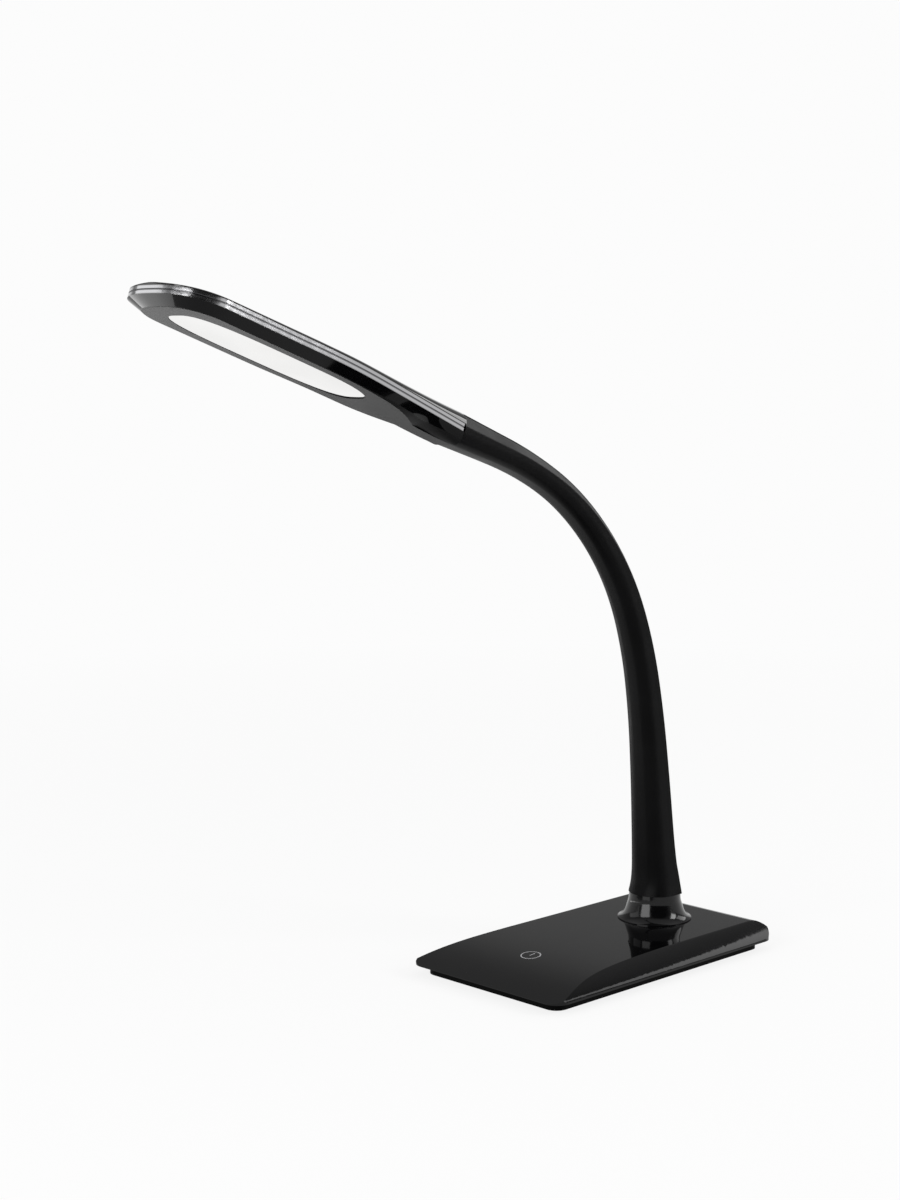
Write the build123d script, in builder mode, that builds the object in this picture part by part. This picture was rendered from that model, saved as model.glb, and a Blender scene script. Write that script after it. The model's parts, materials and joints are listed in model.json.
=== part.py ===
from build123d import *
import os
from math import cos, pi, radians, sin

# Gooseneck desk lamp. +Z is up, the origin is the middle of the resting face,
# the head reaches out along -Y and X runs across the lamp. Millimetres.

os.makedirs("parts", exist_ok=True)

# General fits
running_gap = 0.3
fit_gap = 0.15
screw_gap = 0.1

# Base cover: a crowned shell that overhangs the tray
cover_length = 186.4
cover_width = 112.4
cover_corner = 9.0
cover_top = 16.0
cover_wall = 2.0
cover_overhang = 6.2
rim_height = 5.8
side_fall = 9.4
side_fall_width = 12.0
side_fall_ease = 0.2
front_fall = 9.7
front_fall_length = 119.0
front_fall_crest = 0.71
front_fall_edge = 0.25
front_fall_start = 1.0
front_land = 10.0
rear_fall = 6.6
rear_fall_length = 8.0
rear_fall_ease = 0.55

# Base tray and the pad under it
tray_corner = 7.0
tray_floor = 2.0
tray_wall = 2.0
tray_lip = 1.2
pad_thickness = 1.0
pad_recess = 0.4
pad_margin = 4.0

# Screws that hold tray and cover together
base_screw_side_inset = 12.0
base_screw_front_inset = 17.0
base_screw_rear_inset = 23.0
base_screw_radius = 1.5
base_screw_head_radius = 2.8
base_screw_head = 1.6
base_screw_length = 7.4
base_post_height = 2.2
base_post_radius = 4.5
base_boss_radius = 3.5
base_boss_height = 2.0

# Counterweight
weight_side_gap = 4.0
weight_board_gap = 8.0
weight_rear_inset = 15.5
weight_thickness = 6.0
weight_corner = 4.0

# Control board, its screws and the touch electrode
board_width = 56.0
board_length = 50.0
board_front_inset = 25.2
board_thickness = 1.6
board_bottom = 8.0
board_screw_inset = 5.0
board_screw_radius = 1.0
board_screw_head_radius = 1.9
board_screw_head = 1.2
board_screw_length = 3.2
board_boss_radius = 2.6
touch_front_inset = 39.2
electrode_radius = 7.0
electrode_thickness = 0.4
electrode_leg = 2.0
electrode_height = 1.4
connector_width = 10.0
connector_length = 6.0
connector_height = 3.5
jack_connector_x = 12.5
chip_size = 7.0
chip_height = 1.4
chip_spots = ((-14.0, 2.0), (13.0, 8.0))
coil_radius = 3.2
coil_spot = (-12.0, 14.0)
small_part_width = 2.0
small_part_length = 1.2
small_part_height = 0.6
small_part_pitch_x = 6.0
small_part_pitch_y = 5.0
small_part_spot = (-2.0, 2.0)

# Low-voltage inlet
inlet_height = 10.1
inlet_recess = 5.5
inlet_recess_width = 13.0
inlet_recess_top = 14.2
inlet_body_width = 9.0
inlet_body_length = 11.3
inlet_body_height = 7.4
inlet_nose_radius = 3.4
inlet_bore_radius = 2.75
inlet_bore_depth = 9.0
inlet_pin_radius = 1.0
inlet_pin_length = 8.0
inlet_shelf_length = 9.0
inlet_shelf_inset = 1.0
inlet_lead_radius = 1.4
inlet_lead_rise = 2.7
inlet_lead_straight = 5.6
inlet_lead_swerve = 15.0
inlet_lead_bulge = 3.0
inlet_lead_bulge_run = 46.0
inlet_lead_bends = (9.0, 9.0, 90.0)

# Root of the neck
root_rear_inset = 42.0
seam_height = 31.5
collar_foot_radius = 21.5
collar_top_radius = 15.0
collar_wall = 2.2
collar_lip = 0.5
collar_skirt = ((18.1, 3.2), (16.0, 8.6))
collar_skirt_start = (-1.0, 0.35)
collar_inside_foot = 18.5
collar_inside_height = 6.0
ferrule_radius = 7.0
ferrule_above_seam = 4.0
ferrule_flange_radius = 10.0
ferrule_flange = 1.8
stud_radius = 5.0
root_nut_flats = 15.0
root_nut_height = 2.0
washer_thickness = 0.8
washer_radius = 9.6
weight_nut_pocket = 3.2

# Neck: a short root arc and nine links, each a circular arc
link_count = 9
link_length = 38.0
root_arc = 12.0
root_bend = 6.5
link_bends = (-1.4, 1.4, 4.6, 9.4, 14.7, 12.8, 13.4, 8.6, 0.4)
core_radius = 4.5
core_bore = 2.2
core_below_seam = 14.0
core_in_head = 18.0
ball_radius = 3.8
ball_top = 2.4
cup_rim = 0.6
ball_shoulder = 1.2
ball_mouth = 2.5
lead_radius = 1.7
lead_gap = 0.8
joint_range = 14.0

# Rubber sleeve at distances from the seam: width, depth, back bevel, front corner
sleeve_crown = 0.8
sleeve_root_stops = (7.0, 19.0, 32.0)
sleeve_keys = (
    (0.0, 30.0, 29.0, 7.0, 12.0),
    (7.0, 26.8, 24.0, 4.4, 8.5),
    (19.0, 24.2, 20.6, 3.2, 6.5),
    (50.0, 21.5, 18.4, 2.2, 5.5),
    (126.0, 18.1, 15.4, 1.8, 4.5),
    (202.0, 17.3, 13.7, 2.4, 4.5),
    (278.0, 19.9, 13.8, 4.4, 5.0),
    (316.0, 22.3, 15.3, 5.6, 5.5),
    (354.0, 24.8, 18.2, 6.4, 6.0),
)

# Head, measured in its own frame: lengths along the head, levels above its flat underside
head_reach = 122.9
head_axis_level = 5.7
shell_floor = 2.0
shell_wall = 1.6
trim_level = 4.0
trim_height = 4.0
trim_depth = 1.6
trim_groove_level = 5.7
trim_groove_height = 0.7
trim_groove_depth = 0.5
trim_end = 121.4
upstand_height = 3.0
pocket_inset = 9.5
cover_shell = 1.8
side_wall = 2.0
nose_power = 2.6
band_nose = 75.4
band_half = 31.1
band_shoulder = 49.1
band_tail = ((31.1, 3.9), (29.7, 30.9), (23.8, 64.9), (16.7, 100.9), (12.3, head_reach))
facet_nose = 68.6
facet_half = 24.2
facet_shoulder = 46.1
facet_tail = ((24.2, 10.0), (23.2, 30.9))
tail_start = 30.9
bulkhead = 102.9
floor_pocket_end = 88.9

# Underside towards the neck: distance back, facet half width, level, roundness of the side
tail_sections = (
    (30.9, 23.2, 0.0, 0.0),
    (44.0, 22.0, -0.15, 0.0),
    (57.0, 20.6, -0.55, 0.0),
    (69.0, 18.3, -1.15, 0.0),
    (80.0, 14.0, -1.8, 0.05),
    (88.5, 9.0, -2.35, 0.15),
    (96.0, 4.6, -2.85, 0.35),
    (109.0, 5.2, -3.3, 0.7),
    (122.9, 6.4, -3.4, 1.0),
)

# Roof of the head above the trim: distance back, half span, edge height, middle height
crown_roll = 0.5
crown_sections = (
    (-77.0, 34.0, 0.2, 1.4),
    (-55.0, 34.0, 0.4, 2.6),
    (20.0, 34.0, 1.1, 3.6),
    (65.0, 27.5, 1.5, 4.6),
    (head_reach, 14.0, 3.0, 6.4),
)

# Light stack in the head
window_length = 57.5
window_half = 17.6
window_power = 3.2
window_lip = 2.2
diffuser_recess = 0.25
diffuser_flange = 1.2
reflector_height = 2.4
reflector_wall = 1.4
led_board_thickness = 1.2
led_rows = 2
led_columns = 12
led_pitch = 9.0
led_row_pitch = 14.0
led_width = 2.8
led_length = 3.5
led_height = 0.7
spreader_thickness = 1.5
spreader_margin = 2.5
head_screw_pitch = 42.0
head_screw_radius = 1.25
head_screw_head_radius = 2.2
head_screw_head = 1.1
head_screw_length = 4.1
head_boss_radius = 3.0

# Ferrule that holds the neck in the head
head_ferrule_radius = 5.5
head_flange_width = 20.0
head_flange_height = 5.2
head_flange_level = 7.0
head_flange_corner = 1.5
head_flange = 2.0
ferrule_screw_x = 8.2
ferrule_screw_level = 6.0
ferrule_screw_radius = 0.8
ferrule_screw_length = 7.0
ferrule_screw_head_radius = 1.5
ferrule_screw_head = 1.2

# Heights that follow from the sizes above
tray_length = cover_length - 2 * cover_overhang
tray_width = cover_width - 2 * cover_overhang
root_y = cover_length / 2 - root_rear_inset
board_middle = board_front_inset + board_length / 2 - cover_length / 2
touch_middle = touch_front_inset - cover_length / 2
base_screw_x = tray_width / 2 - base_screw_side_inset
base_screw_front = base_screw_front_inset - tray_length / 2
base_screw_rear = tray_length / 2 - base_screw_rear_inset
weight_width = tray_width - 2 * weight_side_gap
weight_rear = tray_length / 2 - weight_rear_inset
weight_front = board_middle + board_length / 2 + weight_board_gap
tray_bottom = pad_thickness - pad_recess
floor_top = tray_bottom + tray_floor
post_top = floor_top + base_post_height
weight_top = floor_top + weight_thickness
board_top = board_bottom + board_thickness
lead_height = board_top + lead_radius + running_gap / 2
core_foot = seam_height - core_below_seam
neck_length = root_arc + link_count * link_length
head_lead_length = head_reach - window_length - window_lip - running_gap
core_end = neck_length + core_in_head
ferrule_seat = neck_length + head_reach - bulkhead
screw_spots = [(x, y) for x in (-base_screw_x, base_screw_x) for y in (base_screw_front, base_screw_rear)]
board_spots = [
    (x, board_middle + y)
    for x in (board_screw_inset - board_width / 2, board_width / 2 - board_screw_inset)
    for y in (board_screw_inset - board_length / 2, board_length / 2 - board_screw_inset)
]


def write(piece, name):
    piece.part.label = name
    export_step(piece.part, f"parts/{name}.step")


# ---------------------------------------------------------------- base cover


def fall_curve(start, end, start_handle, end_handle):
    # Smooth fall that leaves its start level and ends along the second handle.
    return Bezier(start, start_handle, end_handle, end)


def crown_block(inset, bottom):
    # Block under the sloping top, its sides moved in and its roof lowered by the inset.
    front = -cover_length / 2
    rear = cover_length / 2 - inset
    side = cover_width / 2 - inset
    roof = cover_top - inset
    crest_y = front + front_fall_length
    front_edge = roof - front_fall
    front_pull = crest_y - front_fall_crest * front_fall_length
    front_ease = front + front_fall_edge * front_fall_length
    rear_y = cover_length / 2 - rear_fall_length
    rear_edge = cover_top - rear_fall
    rear_width = rear_fall_length - inset
    rear_height = rear_fall - inset
    side_x = cover_width / 2 - side_fall_width
    side_edge = cover_top - side_fall
    side_width = (side_fall_width - inset) * side_fall_ease
    side_height = (side_fall - inset) * side_fall_ease
    with BuildPart() as block:
        with BuildSketch(Plane.XY.offset(bottom)):
            RectangleRounded(2 * side, cover_length - 2 * inset, cover_corner - inset)
        extrude(amount=cover_top)
        with BuildSketch(Plane.YZ):
            with BuildLine():
                Line((front, min(bottom, front_edge) - 1), (front, front_edge))
                fall_curve(
                    (crest_y, roof),
                    (front, front_edge),
                    (front_pull, roof),
                    (front_ease, roof - front_fall_start),
                )
                Line((crest_y, roof), (rear_y, roof))
                fall_curve(
                    (rear_y, roof),
                    (rear, rear_edge),
                    (rear_y + rear_width * rear_fall_ease, roof),
                    (rear, rear_edge + rear_height * rear_fall_ease),
                )
                Line((rear, rear_edge), (rear, min(bottom, front_edge) - 1))
                Line((rear, min(bottom, front_edge) - 1), (front, min(bottom, front_edge) - 1))
            make_face()
        extrude(amount=cover_width, both=True, mode=Mode.INTERSECT)
        with BuildSketch(Plane.XZ):
            with BuildLine():
                Line((side, bottom), (side, side_edge))
                fall_curve(
                    (side_x, roof),
                    (side, side_edge),
                    (side_x + side_width, roof),
                    (side, side_edge + side_height),
                )
                Line((side_x, roof), (0, roof))
                mirror(about=Plane.YZ)
                Line((side, bottom), (-side, bottom))
            make_face()
        extrude(amount=cover_length, both=True, mode=Mode.INTERSECT)
    return block.part


inlet_back = cover_length / 2 - inlet_recess
inlet_wall_front = inlet_back - cover_wall

with BuildPart() as cover_cavity:
    add(crown_block(cover_wall, post_top))
    with BuildSketch(Plane.XY.offset(post_top)):
        with Locations((0, -cover_length / 2)):
            Rectangle(cover_width, 2 * front_land)
    extrude(amount=cover_top, mode=Mode.SUBTRACT)
    with BuildSketch(Plane.XY.offset(post_top)):
        with Locations(*screw_spots):
            Circle(base_boss_radius)
    extrude(amount=cover_top, mode=Mode.SUBTRACT)
    with BuildSketch(Plane.XY.offset(board_top)):
        with Locations(*board_spots):
            Circle(board_boss_radius)
    extrude(amount=cover_top, mode=Mode.SUBTRACT)
    with BuildSketch(Plane.XY.offset(board_top + electrode_height)):
        with Locations((0, touch_middle)):
            Circle(electrode_radius)
    extrude(amount=cover_top, mode=Mode.SUBTRACT)
    with BuildSketch(Plane.XY.offset(post_top)):
        with Locations((0, inlet_wall_front + inlet_recess)):
            Rectangle(inlet_recess_width + 2 * cover_wall, 2 * inlet_recess)
    extrude(amount=cover_top, mode=Mode.SUBTRACT)

with BuildPart() as base_cover:
    add(crown_block(0, rim_height))
    add(cover_cavity.part, mode=Mode.SUBTRACT)
    with BuildSketch(Plane.XY.offset(post_top)):
        with Locations(*screw_spots):
            Circle(base_boss_radius)
    extrude(amount=base_boss_height)
    with BuildSketch(Plane.XY.offset(post_top)):
        with Locations(*screw_spots):
            Circle(base_screw_radius + screw_gap)
    extrude(amount=base_screw_length - base_post_height + running_gap, mode=Mode.SUBTRACT)
    with BuildSketch(Plane.XY.offset(board_top)):
        with Locations(*board_spots):
            Circle(board_screw_radius + screw_gap)
    extrude(amount=board_screw_length - board_thickness + running_gap, mode=Mode.SUBTRACT)
    with BuildSketch(Plane.XY.offset(cover_top)):
        with Locations((0, root_y)):
            Circle(ferrule_radius + running_gap)
    extrude(amount=-2 * cover_wall, mode=Mode.SUBTRACT)
    with BuildSketch(Plane.XZ.offset(-cover_length)):
        with Locations((0, inlet_recess_top / 2)):
            Rectangle(inlet_recess_width, inlet_recess_top)
    extrude(amount=cover_length - inlet_back, mode=Mode.SUBTRACT)
    with BuildSketch(Plane.XZ.offset(-inlet_back)):
        with Locations((0, inlet_height)):
            Circle(inlet_nose_radius + running_gap)
    extrude(amount=2 * cover_wall, both=True, mode=Mode.SUBTRACT)
write(base_cover, "base_cover")


# ------------------------------------------------------------ tray and pad

lip_width = cover_width - 2 * (cover_wall + fit_gap)
lip_length = cover_length - 2 * (cover_wall + fit_gap)

with BuildPart() as base_tray:
    with BuildSketch(Plane.XY.offset(tray_bottom)):
        RectangleRounded(tray_width, tray_length, tray_corner)
    extrude(amount=rim_height - tray_bottom)
    with BuildSketch(Plane.XY.offset(rim_height)):
        RectangleRounded(lip_width, lip_length, cover_corner - cover_wall - fit_gap)
        with Locations((0, front_land + fit_gap)):
            Rectangle(cover_width, cover_length, mode=Mode.INTERSECT)
    extrude(amount=tray_lip)
    with BuildSketch(Plane.XY.offset(floor_top)):
        RectangleRounded(tray_width - 2 * tray_wall, tray_length - 2 * tray_wall, tray_corner - tray_wall)
    extrude(amount=rim_height, mode=Mode.SUBTRACT)
    with BuildSketch(Plane.XY.offset(tray_bottom)):
        RectangleRounded(tray_width - 2 * pad_margin, tray_length - 2 * pad_margin, tray_corner - pad_margin)
    extrude(amount=pad_recess, mode=Mode.SUBTRACT)
    with BuildSketch(Plane.XY.offset(floor_top - pad_recess)):
        with Locations(*screw_spots):
            Circle(base_post_radius)
    extrude(amount=base_post_height + pad_recess)
    with BuildSketch(Plane.XY.offset(pad_thickness)):
        with Locations(*screw_spots):
            Circle(base_screw_head_radius + fit_gap)
    extrude(amount=base_screw_head + fit_gap, mode=Mode.SUBTRACT)
    with BuildSketch(Plane.XY.offset(pad_thickness)):
        with Locations(*screw_spots):
            Circle(base_screw_radius + screw_gap)
    extrude(amount=post_top, mode=Mode.SUBTRACT)
    with BuildSketch(Plane.XY.offset(rim_height)):
        with Locations((0, inlet_wall_front)):
            Rectangle(inlet_recess_width + 2 * (cover_wall + fit_gap), 2 * inlet_recess)
    extrude(amount=tray_lip, mode=Mode.SUBTRACT)
    with BuildSketch(Plane.XY.offset(floor_top)):
        with Locations((0, inlet_wall_front - inlet_shelf_length / 2 - inlet_shelf_inset)):
            Rectangle(inlet_body_width - inlet_shelf_inset, inlet_shelf_length)
    extrude(amount=inlet_height - inlet_body_height / 2 - floor_top)
write(base_tray, "base_tray")

with BuildPart() as anti_slip_pad:
    with BuildSketch():
        RectangleRounded(
            tray_width - 2 * (pad_margin + fit_gap),
            tray_length - 2 * (pad_margin + fit_gap),
            tray_corner - pad_margin - fit_gap,
        )
    extrude(amount=pad_thickness)
write(anti_slip_pad, "anti_slip_pad")

with BuildPart() as base_screws:
    with BuildSketch(Plane.XY.offset(pad_thickness)):
        with Locations(*screw_spots):
            Circle(base_screw_head_radius)
    extrude(amount=base_screw_head)
    with BuildSketch(Plane.XY.offset(pad_thickness + base_screw_head)):
        with Locations(*screw_spots):
            Circle(base_screw_radius)
    extrude(amount=base_screw_length)
write(base_screws, "base_screws")


# ------------------------------------------------------------ counterweight

weight_middle = (weight_front + weight_rear) / 2

with BuildPart() as counterweight:
    with BuildSketch(Plane.XY.offset(floor_top)):
        with Locations((0, weight_middle)):
            RectangleRounded(weight_width, weight_rear - weight_front, weight_corner)
        with Locations((0, root_y)):
            Circle(stud_radius + fit_gap, mode=Mode.SUBTRACT)
        with Locations((-base_screw_x, base_screw_rear), (base_screw_x, base_screw_rear)):
            Circle(base_post_radius + running_gap, mode=Mode.SUBTRACT)
    extrude(amount=weight_thickness)
    with BuildSketch(Plane.XY.offset(floor_top)):
        with Locations((0, root_y)):
            Circle(washer_radius + running_gap)
    extrude(amount=weight_nut_pocket, mode=Mode.SUBTRACT)
write(counterweight, "counterweight")


# ---------------------------------------------------------- control board

with BuildPart() as control_board:
    with BuildSketch(Plane.XY.offset(board_bottom)):
        with Locations((0, board_middle)):
            RectangleRounded(board_width, board_length, 2)
        with Locations(*board_spots):
            Circle(board_screw_radius + screw_gap, mode=Mode.SUBTRACT)
    extrude(amount=board_thickness)
write(control_board, "control_board")

connector_rear = board_middle + board_length / 2
connector_middle = connector_rear - connector_length / 2

with BuildPart() as board_components:
    with BuildSketch(Plane.XY.offset(board_top)):
        with Locations((0, connector_middle), (jack_connector_x, connector_middle)):
            Rectangle(connector_width, connector_length)
    extrude(amount=connector_height)
    with BuildSketch(Plane.XY.offset(board_top)):
        with Locations((0, board_middle)):
            with Locations(*chip_spots):
                Rectangle(chip_size, chip_size)
            with Locations(coil_spot):
                Circle(coil_radius)
    extrude(amount=chip_height)
    with BuildSketch(Plane.XY.offset(board_top)):
        with Locations((0, board_middle)):
            with Locations(small_part_spot):
                with GridLocations(small_part_pitch_x, small_part_pitch_y, 3, 2):
                    Rectangle(small_part_width, small_part_length)
    extrude(amount=small_part_height)
write(board_components, "board_components")

with BuildPart() as board_screws:
    with BuildSketch(Plane.XY.offset(board_bottom - board_screw_head)):
        with Locations(*board_spots):
            Circle(board_screw_head_radius)
    extrude(amount=board_screw_head)
    with BuildSketch(Plane.XY.offset(board_bottom)):
        with Locations(*board_spots):
            Circle(board_screw_radius)
    extrude(amount=board_screw_length)
write(board_screws, "board_screws")

with BuildPart() as touch_electrode:
    with BuildSketch(Plane.XY.offset(board_top + electrode_height - electrode_thickness)):
        with Locations((0, touch_middle)):
            Circle(electrode_radius)
    extrude(amount=electrode_thickness)
    with BuildSketch(Plane.XY.offset(board_top)):
        with Locations((0, touch_middle - electrode_radius + electrode_leg)):
            Rectangle(electrode_leg, electrode_thickness)
    extrude(amount=electrode_height - electrode_thickness)
write(touch_electrode, "touch_electrode")


# ------------------------------------------------------------------ inlet

inlet_nose = cover_wall - running_gap / 2

with BuildPart() as dc_inlet:
    with BuildSketch(Plane.XZ.offset(-inlet_wall_front)):
        with Locations((0, inlet_height)):
            Rectangle(inlet_body_width, inlet_body_height)
    extrude(amount=inlet_body_length)
    with BuildSketch(Plane.XZ.offset(-inlet_wall_front)):
        with Locations((0, inlet_height)):
            Circle(inlet_nose_radius)
    extrude(amount=-inlet_nose)
    with BuildSketch(Plane.XZ.offset(-inlet_wall_front - inlet_nose)):
        with Locations((0, inlet_height)):
            Circle(inlet_bore_radius)
            Circle(inlet_pin_radius, mode=Mode.SUBTRACT)
    extrude(amount=inlet_bore_depth, mode=Mode.SUBTRACT)
    with BuildSketch(Plane.XZ.offset(-inlet_wall_front - inlet_nose)):
        with Locations((0, inlet_height)):
            Circle(inlet_bore_radius)
    extrude(amount=inlet_bore_depth - inlet_pin_length, mode=Mode.SUBTRACT)
write(dc_inlet, "dc_inlet")

inlet_lead_height = weight_top + inlet_lead_rise
inlet_lead_start = inlet_wall_front - inlet_body_length - running_gap
inlet_lead_end = connector_rear + running_gap

with BuildPart() as inlet_lead:
    with BuildLine() as inlet_route:
        FilletPolyline(
            (0, inlet_lead_start, inlet_lead_height),
            (0, inlet_lead_start - inlet_lead_straight, inlet_lead_height),
            (jack_connector_x, inlet_lead_start - inlet_lead_swerve, inlet_lead_height),
            (jack_connector_x + inlet_lead_bulge, inlet_lead_start - inlet_lead_bulge_run, inlet_lead_height),
            (jack_connector_x, inlet_lead_end, inlet_lead_height),
            radius=list(inlet_lead_bends),
        )
    with BuildSketch(Plane.XZ.offset(-inlet_lead_start)):
        with Locations((0, inlet_lead_height)):
            Circle(inlet_lead_radius)
    sweep(path=inlet_route.wire())
write(inlet_lead, "inlet_lead")


# ------------------------------------------------- centre line of the neck

span_lengths = [core_below_seam, root_arc] + [link_length] * link_count + [head_reach]
span_bends = [0.0, root_bend, *link_bends, 0.0]


def neck_state(distance):
    # Point and lean of the centre line, distance measured from the seam.
    point = Vector(0, root_y, core_foot)
    lean = 0.0
    left = distance + core_below_seam
    for length, bend in zip(span_lengths, span_bends):
        part = min(length, left)
        turn = radians(bend) * part / length
        chord = part if abs(turn) < 1e-9 else 2 * part / turn * sin(turn / 2)
        heading = lean + turn / 2
        point += Vector(0, -sin(heading), cos(heading)) * chord
        lean += turn
        left -= part
        if left <= 1e-9:
            break
    return point, lean


def neck_point(distance):
    return neck_state(distance)[0]


def neck_plane(distance):
    # Plane square to the centre line: local x is across, local y is towards the back.
    point, lean = neck_state(distance)
    return Plane(origin=point, x_dir=(1, 0, 0), z_dir=(0, -sin(lean), cos(lean)))


def neck_route(start, end):
    # Straights and arcs of the centre line between two distances.
    span_start = -core_below_seam
    for length, bend in zip(span_lengths, span_bends):
        first = max(start, span_start)
        last = min(end, span_start + length)
        if last - first > 1e-6:
            if bend:
                ThreePointArc(neck_point(first), neck_point((first + last) / 2), neck_point(last))
            else:
                Line(neck_point(first), neck_point(last))
        span_start += length


def neck_rod(radius, start, end):
    with BuildPart() as rod:
        with BuildLine() as route:
            neck_route(start, end)
        with BuildSketch(neck_plane(start)):
            Circle(radius)
        sweep(path=route.wire())
    return rod.part


def joint_distance(number):
    return root_arc + number * link_length


# ------------------------------------------------------- root of the neck

skirt_points = [(radius, cover_top + height) for radius, height in collar_skirt]

with BuildPart() as neck_collar:
    with BuildSketch(Plane.XZ):
        with BuildLine():
            Line((0, cover_top), (collar_foot_radius, cover_top))
            Line((collar_foot_radius, cover_top), (collar_foot_radius, cover_top + collar_lip))
            Spline(
                (collar_foot_radius, cover_top + collar_lip),
                *skirt_points,
                (collar_top_radius, seam_height),
                tangents=(collar_skirt_start, (0, 1)),
            )
            Line((collar_top_radius, seam_height), (0, seam_height))
            Line((0, seam_height), (0, cover_top))
        make_face()
        with BuildLine():
            Line((0, cover_top), (collar_inside_foot, cover_top))
            ThreePointArc(
                (collar_inside_foot, cover_top),
                (collar_top_radius - collar_wall, cover_top + collar_inside_height),
                (collar_top_radius - collar_wall, seam_height - collar_wall),
            )
            Line((collar_top_radius - collar_wall, seam_height - collar_wall), (0, seam_height - collar_wall))
            Line((0, seam_height - collar_wall), (0, cover_top))
        make_face(mode=Mode.SUBTRACT)
    revolve(axis=Axis.Z)
    with BuildSketch(Plane.XY.offset(cover_top)):
        Circle(ferrule_radius + running_gap)
    extrude(amount=seam_height, mode=Mode.SUBTRACT)
neck_collar.part = neck_collar.part.moved(Location((0, root_y, 0)))
write(neck_collar, "neck_collar")

ferrule_top = seam_height + ferrule_above_seam
lead_bend = core_foot - lead_height

with BuildPart() as root_ferrule:
    with BuildSketch(Plane.XY.offset(floor_top + running_gap)):
        with Locations((0, root_y)):
            Circle(stud_radius)
    extrude(amount=weight_thickness - running_gap)
    with BuildSketch(Plane.XY.offset(weight_top)):
        with Locations((0, root_y)):
            Circle(ferrule_flange_radius)
    extrude(amount=ferrule_flange)
    with BuildSketch(Plane.XY.offset(weight_top)):
        with Locations((0, root_y)):
            Circle(ferrule_radius)
    extrude(amount=ferrule_top - weight_top)
    add(neck_rod(core_radius + fit_gap, 0, ferrule_above_seam + 1), mode=Mode.SUBTRACT)
    with BuildSketch(Plane.XY.offset(core_foot)):
        with Locations((0, root_y)):
            Circle(core_radius + fit_gap)
    extrude(amount=core_below_seam, mode=Mode.SUBTRACT)
    with BuildSketch(Plane.XY.offset(weight_top + ferrule_flange / 2)):
        with Locations((0, root_y)):
            Circle(lead_radius + 2 * running_gap)
        with Locations((0, root_y - ferrule_flange_radius)):
            Rectangle(2 * (lead_radius + 2 * running_gap), 2 * ferrule_flange_radius)
    extrude(amount=core_foot - weight_top - ferrule_flange / 2, mode=Mode.SUBTRACT)
write(root_ferrule, "root_ferrule")

washer_bottom = floor_top + weight_nut_pocket - washer_thickness

with BuildPart() as root_washer:
    with BuildSketch(Plane.XY.offset(washer_bottom)):
        with Locations((0, root_y)):
            Circle(washer_radius)
            Circle(stud_radius + fit_gap, mode=Mode.SUBTRACT)
    extrude(amount=washer_thickness)
write(root_washer, "root_washer")

with BuildPart() as root_nut:
    with BuildSketch(Plane.XY.offset(washer_bottom - root_nut_height)):
        with Locations((0, root_y)):
            RegularPolygon(root_nut_flats / 2, 6, major_radius=False)
            Circle(stud_radius + screw_gap, mode=Mode.SUBTRACT)
    extrude(amount=root_nut_height)
write(root_nut, "root_nut")


# ------------------------------------------------------------ neck sleeve


def sleeve_size(distance):
    # Width, depth, bevel and corner at a distance, on smooth curves through the keys.
    keys = sleeve_keys
    index = 0
    while index < len(keys) - 2 and distance > keys[index + 1][0]:
        index += 1
    before = keys[max(index - 1, 0)]
    low, high = keys[index], keys[index + 1]
    after = keys[min(index + 2, len(keys) - 1)]
    span = high[0] - low[0]
    t = (distance - low[0]) / span
    sizes = []
    for column in range(1, 5):
        slope_low = (high[column] - before[column]) / (high[0] - before[0]) * span
        slope_high = (after[column] - low[column]) / (after[0] - low[0]) * span
        blend = (2 * t**3 - 3 * t**2 + 1) * low[column] + (3 * t**2 - 2 * t**3) * high[column]
        blend += (t**3 - 2 * t**2 + t) * slope_low + (t**3 - t**2) * slope_high
        sizes.append(blend)
    return sizes


def sleeve_section(distance):
    # Closed outline: crowned back, two back bevels, upright sides, round front.
    width, depth, bevel, corner = sleeve_size(distance)
    half = width / 2
    back = depth / 2 - sleeve_crown
    diagonal = corner * (1 - cos(pi / 4))
    with BuildSketch(neck_plane(distance)) as section:
        with BuildLine():
            ThreePointArc((bevel - half, back), (0, depth / 2), (half - bevel, back))
            Line((half - bevel, back), (half, back - bevel))
            Line((half, back - bevel), (half, corner - back))
            ThreePointArc((half, corner - back), (half - diagonal, diagonal - back), (half - corner, -back))
            ThreePointArc((half - corner, -back), (0, -depth / 2), (corner - half, -back))
            ThreePointArc((corner - half, -back), (diagonal - half, diagonal - back), (-half, corner - back))
            Line((-half, corner - back), (-half, back - bevel))
            Line((-half, back - bevel), (bevel - half, back))
        make_face()
    return section.sketch


def joint_gap(number):
    # Room between two sleeve pieces, so that they clear at the end of the joint's travel.
    width, depth, bevel, corner = sleeve_size(joint_distance(number))
    return max(width, depth) / 2 * sin(radians(joint_range)) + 2 * running_gap


def sleeve_piece(number):
    start = joint_distance(number - 1) + joint_gap(number - 1) / 2 if number > 1 else 0.0
    end = joint_distance(number) - joint_gap(number) / 2 if number < link_count else neck_length
    stops = [start + (end - start) * step / 3 for step in range(4)]
    if number == 1:
        stops = [start, *sleeve_root_stops, end]
    with BuildPart() as piece:
        loft([sleeve_section(stop) for stop in stops])
        add(neck_rod(core_radius + running_gap, start, end), mode=Mode.SUBTRACT)
        if number == 1:
            with BuildSketch(Plane.XY.offset(seam_height)):
                with Locations((0, root_y)):
                    Circle(ferrule_radius + running_gap)
            extrude(amount=ferrule_above_seam + running_gap, mode=Mode.SUBTRACT)
    return piece


# -------------------------------------------------- gooseneck core and lead


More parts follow.
